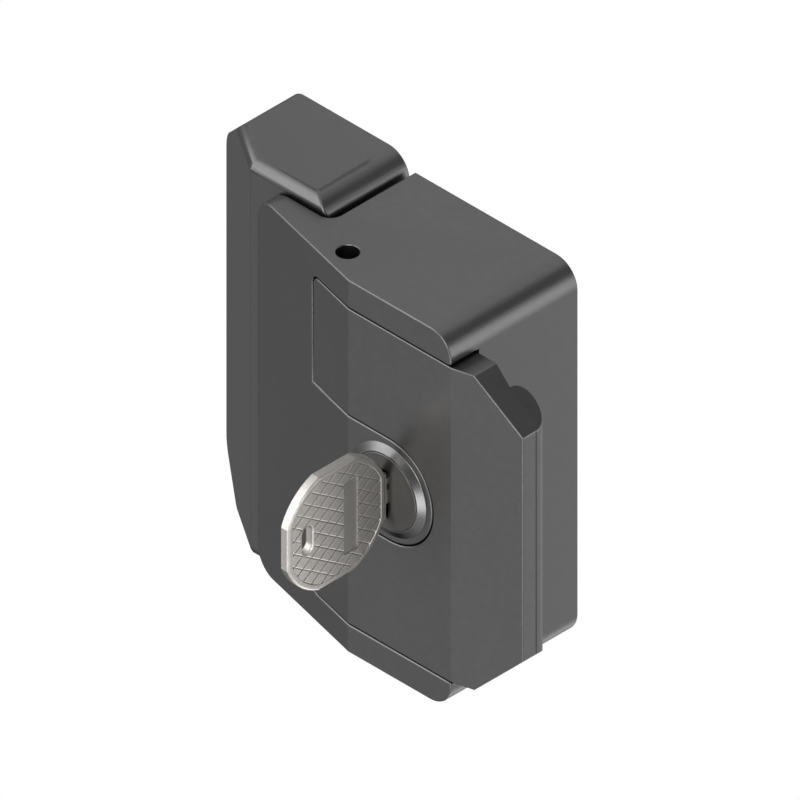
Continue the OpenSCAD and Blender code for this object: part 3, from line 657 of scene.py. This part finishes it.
# X range of the keeper's inner wall, where the holes run too close to the floor to be rounded
SPARED = {"keeper_body": (-0.0340, -0.0338)}
for widths, clamp in ((LARGE_PIECES, False), (SMALL_PIECES, True)):
    for node_name, width in widths.items():
        spared = SPARED.get(node_name, (0, 0))
        shape = clean_copy(node_name)
        if node_name == "cylinder_plug":
            shape = with_drawn_in_mouth(shape)
        made = rounded_mesh(shape, node_name + "_finished", width, clamp, spared)
        take_place(made, node_name)
        print(node_name, "has", len(made.data.polygons), "faces")

# %% [markdown]
# The two return springs sit between the latch carrier, which moves with the grip, and a wall of the case.
# Each one is a smooth copy that stays where it lies.


# %% Return springs
def compressed(name):
    """A smooth copy of a spring with the spring finish, in place of the spring, which is hidden."""
    shape = clean_copy(name)
    for face in shape.faces:
        face.smooth = True
    piece = object_of(shape, name + "_finished")
    piece.data.materials.append(FINISHES["spring"])
    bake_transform(piece)
    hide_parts(name)
    return piece


for node_name in ("return_spring_upper", "return_spring_lower"):
    print(compressed(node_name).name, "bends between the grip and the case")

# %% [markdown]
# The cylinder's barrel is turned, so its surface is one section swept round the key's axis: the upright edge
# of the bright ring, the bevel, a small rounding at each end of it, the bore, and the body behind the case
# front.


# %% Turned barrel
def sheet_of(count, points, closed=False):
    """Faces between neighbouring loops of points, laid one after the other; closed joins the last loop to
    the first. The order of the loops says which way the faces point."""
    faces = []
    for i in range(count if closed else count - 1):
        for j in range(points):
            k = (i + 1) % count
            m = (j + 1) % points
            faces.append((i * points + j, i * points + m, k * points + m, k * points + j))
    return faces


def plain_mesh(name, points, faces, smooth_below=None):
    """An object from points and faces, smooth but at edges that turn by more than smooth_below degrees; None
    leaves it flat."""
    mesh = bpy.data.meshes.new(name)
    mesh.from_pydata([tuple(p) for p in points], [], faces)
    if smooth_below is not None:
        mesh.polygons.foreach_set("use_smooth", [True] * len(mesh.polygons))
        mesh.set_sharp_from_angle(angle=math.radians(smooth_below))
    mesh.update()
    piece = bpy.data.objects.new(name, mesh)
    bpy.context.scene.collection.objects.link(piece)
    return piece


def turned(section, steps):
    """Points of a section of (y, radius) pairs turned round Y: x is radius times cosine, z is radius times
    sine."""
    section = np.array(section)
    angle = np.linspace(0, 2 * np.pi, steps, endpoint=False)
    y, radius = section[:, 0, None], section[:, 1, None]
    grid = np.stack([radius * np.cos(angle), y + 0 * angle, radius * np.sin(angle)], axis=2)
    return grid.reshape(-1, 3)


barrel_low, barrel_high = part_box("cylinder_barrel")
case_low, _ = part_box("case_body")
RING_RADIUS = barrel_high[0]
RING_TOP_RADIUS = 0.0090
RING_FRONT = barrel_low[1] + 0.00015
BARREL_RADIUS = 0.0095
BARREL_BACK = barrel_high[1]
CASE_FRONT = case_low[1]
PLUG_FACE_BORE = 0.00885
PLUG_BORE = 0.00655
PLUG_SEAT = RING_FRONT + 0.0019
STEPS = 128
barrel_section = [
    (BARREL_BACK, PLUG_BORE),
    (PLUG_SEAT, PLUG_BORE),
    (PLUG_SEAT, PLUG_FACE_BORE),
    (RING_FRONT + 0.00006, PLUG_FACE_BORE),
    (RING_FRONT, PLUG_FACE_BORE + 0.00005),
    (RING_FRONT, RING_TOP_RADIUS),
    (RING_FRONT + 0.00002, RING_TOP_RADIUS + 0.00009),
    (RING_FRONT + 0.00007, RING_TOP_RADIUS + 0.00017),
    (CASE_FRONT - 0.00026, RING_RADIUS - 0.00016),
    (CASE_FRONT - 0.00021, RING_RADIUS - 0.00006),
    (CASE_FRONT - 0.00013, RING_RADIUS),
    (CASE_FRONT, RING_RADIUS),
    (CASE_FRONT, BARREL_RADIUS),
    (BARREL_BACK - 0.0003, BARREL_RADIUS),
    (BARREL_BACK, BARREL_RADIUS - 0.0003),
]
barrel_faces = sheet_of(len(barrel_section), STEPS, closed=True)
barrel = plain_mesh("cylinder_barrel_turned", turned(barrel_section[::-1], STEPS), barrel_faces, 25)
take_place(barrel, "cylinder_barrel")
print("barrel turned from a section of", len(barrel_section), "points")

# %% [markdown]
# The bow of the key is a round plate cut flat on four sides. A smooth border stands round a field of small
# diamonds, which two sets of V grooves cut at equal angles to the key's length. A plain oblong panel lies a
# little deeper in the field, and an oblong hole takes a key ring. The blade is a rounded copy of the packed
# model's own.

# %% Key: sizes and heights
key_low, key_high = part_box("key")
BOW_FLAT = (key_high[2] - key_low[2]) / 2
BOW_RADIUS = 0.0147
BOW_MIDDLE = key_low[1] + BOW_FLAT
BOW_HALF = (key_high[0] - key_low[0]) / 2
BORDER = 0.0013
PAD_TOP = BOW_HALF - 0.00010
GROOVE_OFFSETS = (0.0, 0.00019, 0.00027)
GROOVE_DEPTHS = (0.00014, 0.00002, 0.0)
GROOVE_ANGLE = math.radians(34)
GROOVE_PITCH = 0.0032 * math.cos(GROOVE_ANGLE)
PAD_PARTS = 5
# Low Y, high Y, low Z and high Z of the panel, from the bow's middle
PANEL = (0.0020, 0.0060, -0.0088, 0.0088)
PANEL_TOP = BOW_HALF - 0.00036
HOLE_Y = -0.0082
HOLE_RADIUS = 0.00150
HOLE_HALF_RUN = 0.00180
BOW_POINTS = 180
HOLE_POINTS = 48
# The grooves' lines are laid this many bow radii from the middle, and cut where the field ends
LINES_REACH = 1.3
# The field runs under the border, to this far inside the bow's edge
FIELD_INSET = 0.0004
# It runs under the hole's rim too, to this far outside the hole, as a polygon with this many sides
FIELD_HOLE_GAP = 0.0002
FIELD_HOLE_SIDES = 24
# Share of the painted darkening that the sunk panel gets all over
PANEL_DARKENING = 0.3
# Distance that only rounding of numbers makes
TINY = 1e-9


def groove_coordinates(y, z):
    """Distance across each set of grooves, in metres: z times cosine, less or plus y times sine."""
    across, along = z * math.cos(GROOVE_ANGLE), y * math.sin(GROOVE_ANGLE)
    return across - along, across + along


def field_height(points):
    """Height of the field: the pad top, less the depth of the deeper groove, a V with worn shoulders."""
    depth = np.zeros(len(points))
    for s in groove_coordinates(points[:, 0], points[:, 1]):
        off = np.abs(s - GROOVE_PITCH * np.round(s / GROOVE_PITCH))
        depth = np.maximum(depth, np.interp(off, GROOVE_OFFSETS, GROOVE_DEPTHS))
    return PAD_TOP - depth


def groove_lines():
    """Places of the grid lines across the grooves: the bottom, shoulders and edges of each, and lines that
    part the pads."""
    reach = math.ceil(BOW_RADIUS * LINES_REACH / GROOVE_PITCH)
    shoulder, edge = GROOVE_OFFSETS[1:]
    pad = np.linspace(edge, GROOVE_PITCH - edge, PAD_PARTS + 1)
    period = np.concatenate([[0.0, shoulder], pad, [GROOVE_PITCH - shoulder]])
    return np.concatenate([k * GROOVE_PITCH + period for k in range(-reach, reach + 1)])


def clipped(polygon, normal, limit):
    """The part of a convex polygon where the product with the normal is at most the limit."""
    if len(polygon) < 3:
        return polygon[:0]
    side = polygon @ normal - limit
    kept = []
    for i in range(len(polygon)):
        j = (i + 1) % len(polygon)
        if side[i] <= 0:
            kept.append(polygon[i])
        if side[i] * side[j] < 0:
            kept.append(polygon[i] + (polygon[j] - polygon[i]) * side[i] / (side[i] - side[j]))
    return np.array(kept) if len(kept) > 2 else polygon[:0]


def without(polygon, sides):
    """The convex pieces of a polygon that lie outside a convex shape given as (normal, limit) sides."""
    pieces = []
    for normal, limit in sides:
        outside = clipped(polygon, -normal, -limit)
        if len(outside):
            pieces.append(outside)
        polygon = clipped(polygon, normal, limit)
        if not len(polygon):
            break
    return pieces


def hole_reach(angle, offset):
    """Distance from the hole's middle to its side facing an angle: radius, plus the run's share."""
    return HOLE_RADIUS + offset + HOLE_HALF_RUN * np.abs(np.sin(angle))


PANEL_SIDES = [
    (np.array([-1.0, 0.0]), -PANEL[0]),
    (np.array([1.0, 0.0]), PANEL[1]),
    (np.array([0.0, -1.0]), -PANEL[2]),
    (np.array([0.0, 1.0]), PANEL[3]),
]
HOLE_SIDES = []
for angle in np.linspace(0, 2 * np.pi, FIELD_HOLE_SIDES, endpoint=False):
    facing = np.array([math.cos(angle), math.sin(angle)])
    HOLE_SIDES.append((facing, facing[0] * HOLE_Y + hole_reach(angle, FIELD_HOLE_GAP)))
print("bow of", round(BOW_FLAT * 2 / MM, 1), "mm with grooves every", round(GROOVE_PITCH / MM, 2), "mm")


# %% Key: field, panel, border and hole
def bow_reach(angle, inset):
    """Distance from the bow's middle to its edge at an angle: the nearer of a circle and a square."""
    flat = np.maximum(np.abs(np.cos(angle)), np.abs(np.sin(angle)))
    return np.minimum(BOW_RADIUS - inset, (BOW_FLAT - inset) / flat)


def bow_field():
    """Polygons of the field and of the panel's walls as lists of 3-D points, for the side that faces +X."""
    lines = groove_lines()
    polygons = []
    for s0, s1 in zip(lines[:-1], lines[1:]):
        for t0, t1 in zip(lines[:-1], lines[1:]):
            s = np.array([s0, s0, s1, s1])
            u = np.array([t0, t1, t1, t0])
            y = (u - s) / (2 * math.sin(GROOVE_ANGLE))
            z = (u + s) / (2 * math.cos(GROOVE_ANGLE))
            cell = np.stack([y, z], 1)
            angle = np.arctan2(cell[:, 1], cell[:, 0])
            if (np.hypot(cell[:, 0], cell[:, 1]) > bow_reach(angle, FIELD_INSET)).any():
                continue
            for piece in without(cell, PANEL_SIDES):
                for part in without(piece, HOLE_SIDES):
                    polygons.append(np.column_stack([field_height(part), part]))
    y0, y1, z0, z1 = PANEL
    corners = np.array([[y0, z0], [y1, z0], [y1, z1], [y0, z1]])
    polygons.append(np.column_stack([np.full(4, PANEL_TOP), corners]))
    walls = []
    for polygon in polygons[:-1]:
        for a, b in zip(polygon, np.roll(polygon, -1, axis=0)):
            on_side = any(abs(a[1:] @ n - c) < TINY and abs(b[1:] @ n - c) < TINY for n, c in PANEL_SIDES)
            inside = y0 - TINY <= a[1] <= y1 + TINY and z0 - TINY <= a[2] <= z1 + TINY
            if on_side and inside:
                walls.append(np.array([b, a, [PANEL_TOP, a[1], a[2]], [PANEL_TOP, b[1], b[2]]]))
    return polygons + walls


def groove_shade_and_panel_darkening(point):
    """How dark a point of the bow is painted: 1 at the bottom of the rising grooves, painted shade standing
    in for the shade between their walls, falling to nothing at their shoulders, and an even share on the sunk
    panel."""
    x, y, z = point
    if abs(abs(x) - PANEL_TOP) < SAME_POINT:
        return PANEL_DARKENING
    rising = groove_coordinates(y, z)[0]
    off = abs(rising - GROOVE_PITCH * round(rising / GROOVE_PITCH))
    return max(0.0, 1 - off / GROOVE_OFFSETS[1])


def both_sides(polygons):
    """Points and faces of the polygons and of their mirror images, moved to the bow's middle."""
    points, faces = [], []
    for sign in (1, -1):
        for polygon in polygons:
            start = len(points)
            points.extend((sign * x, BOW_MIDDLE + y, z) for x, y, z in polygon)
            face = list(range(start, start + len(polygon)))
            faces.append(face if sign > 0 else face[::-1])
    return points, faces


def loops(section, reach, count, middle):
    """Points of loops round a middle in the key's plane, one for each (offset, height) of the section."""
    angle = np.linspace(0, 2 * np.pi, count, endpoint=False)
    rows = []
    for offset, height in section:
        far = reach(angle, offset)
        rows.append(np.stack([0 * angle + height, middle + far * np.cos(angle), far * np.sin(angle)], 1))
    return np.concatenate(rows)


def hole_loop(angle, offset):
    """Distance from the hole's middle to the edge of an oblong, along an angle."""
    radius = HOLE_RADIUS + offset
    straight = radius / np.maximum(np.abs(np.cos(angle)), TINY)
    sine = np.abs(np.sin(angle))
    end = HOLE_HALF_RUN * sine + np.sqrt(np.maximum(radius**2 - (HOLE_HALF_RUN * np.cos(angle)) ** 2, 0))
    return np.where(straight * sine <= HOLE_HALF_RUN, straight, end)


def mirrored(half):
    """A section given for the side that faces +X, carried on through the middle to the other side."""
    return half + [(offset, -height) for offset, height in reversed(half)]


border_section = mirrored([
    (BORDER + 0.00006, BOW_HALF - 0.00050),
    (BORDER + 0.00003, BOW_HALF - 0.00008),
    (BORDER - 0.00005, BOW_HALF - 0.00001),
    (BORDER - 0.00020, BOW_HALF),
    (0.00050, BOW_HALF),
    (0.00036, BOW_HALF - 0.00004),
    (0.00008, BOW_HALF - 0.00030),
    (0.00000, BOW_HALF - 0.00042),
])
hole_section = mirrored([
    (0.00038, PAD_TOP - 0.00030),
    (0.00037, PAD_TOP + 0.00001),
    (0.00032, PAD_TOP + 0.00001),
    (0.00022, PAD_TOP - 0.00003),
    (0.00013, PAD_TOP - 0.00010),
    (0.00006, PAD_TOP - 0.00024),
    (0.00002, PAD_TOP - 0.00042),
    (0.00000, PAD_TOP - 0.00064),
])
field_points, field_faces = both_sides(bow_field())
field = plain_mesh("key_field", field_points, field_faces)
# Painted shade in the rising grooves, and the panel's even darkening, stored per point to darken the key's
# base colour
bow_darkening = [groove_shade_and_panel_darkening((x, y - BOW_MIDDLE, z)) for x, y, z in field_points]
field.data.attributes.new("groove_shade_and_panel_darkening", "FLOAT", "POINT").data.foreach_set("value", bow_darkening)
border = plain_mesh(
    "key_border",
    loops(border_section[::-1], bow_reach, BOW_POINTS, BOW_MIDDLE),
    sheet_of(len(border_section), BOW_POINTS), 12,
)
hole = plain_mesh(
    "key_hole",
    loops(hole_section, hole_loop, HOLE_POINTS, BOW_MIDDLE + HOLE_Y),
    sheet_of(len(hole_section), HOLE_POINTS), 30,
)
print("field of", len(field_faces), "faces")


# %% Key: blade, and the whole key
def joined(name, *parts):
    """One object from several, with their shading kept."""
    shape = bmesh.new()
    for part in parts:
        shape.from_mesh(part.data)
        bpy.data.objects.remove(part)
    return object_of(shape, name)


BLADE_OVERLAP = 0.0003
BLADE_ROUNDING = 0.00012
blade_copy = clean_copy("key", keep_beyond=BOW_MIDDLE + BOW_FLAT - BLADE_OVERLAP)
blade = rounded_mesh(blade_copy, "key_blade", BLADE_ROUNDING, True)
key = take_place(joined("key_finished", field, border, hole, blade), "key")
print("key has", len(key.data.polygons), "faces")
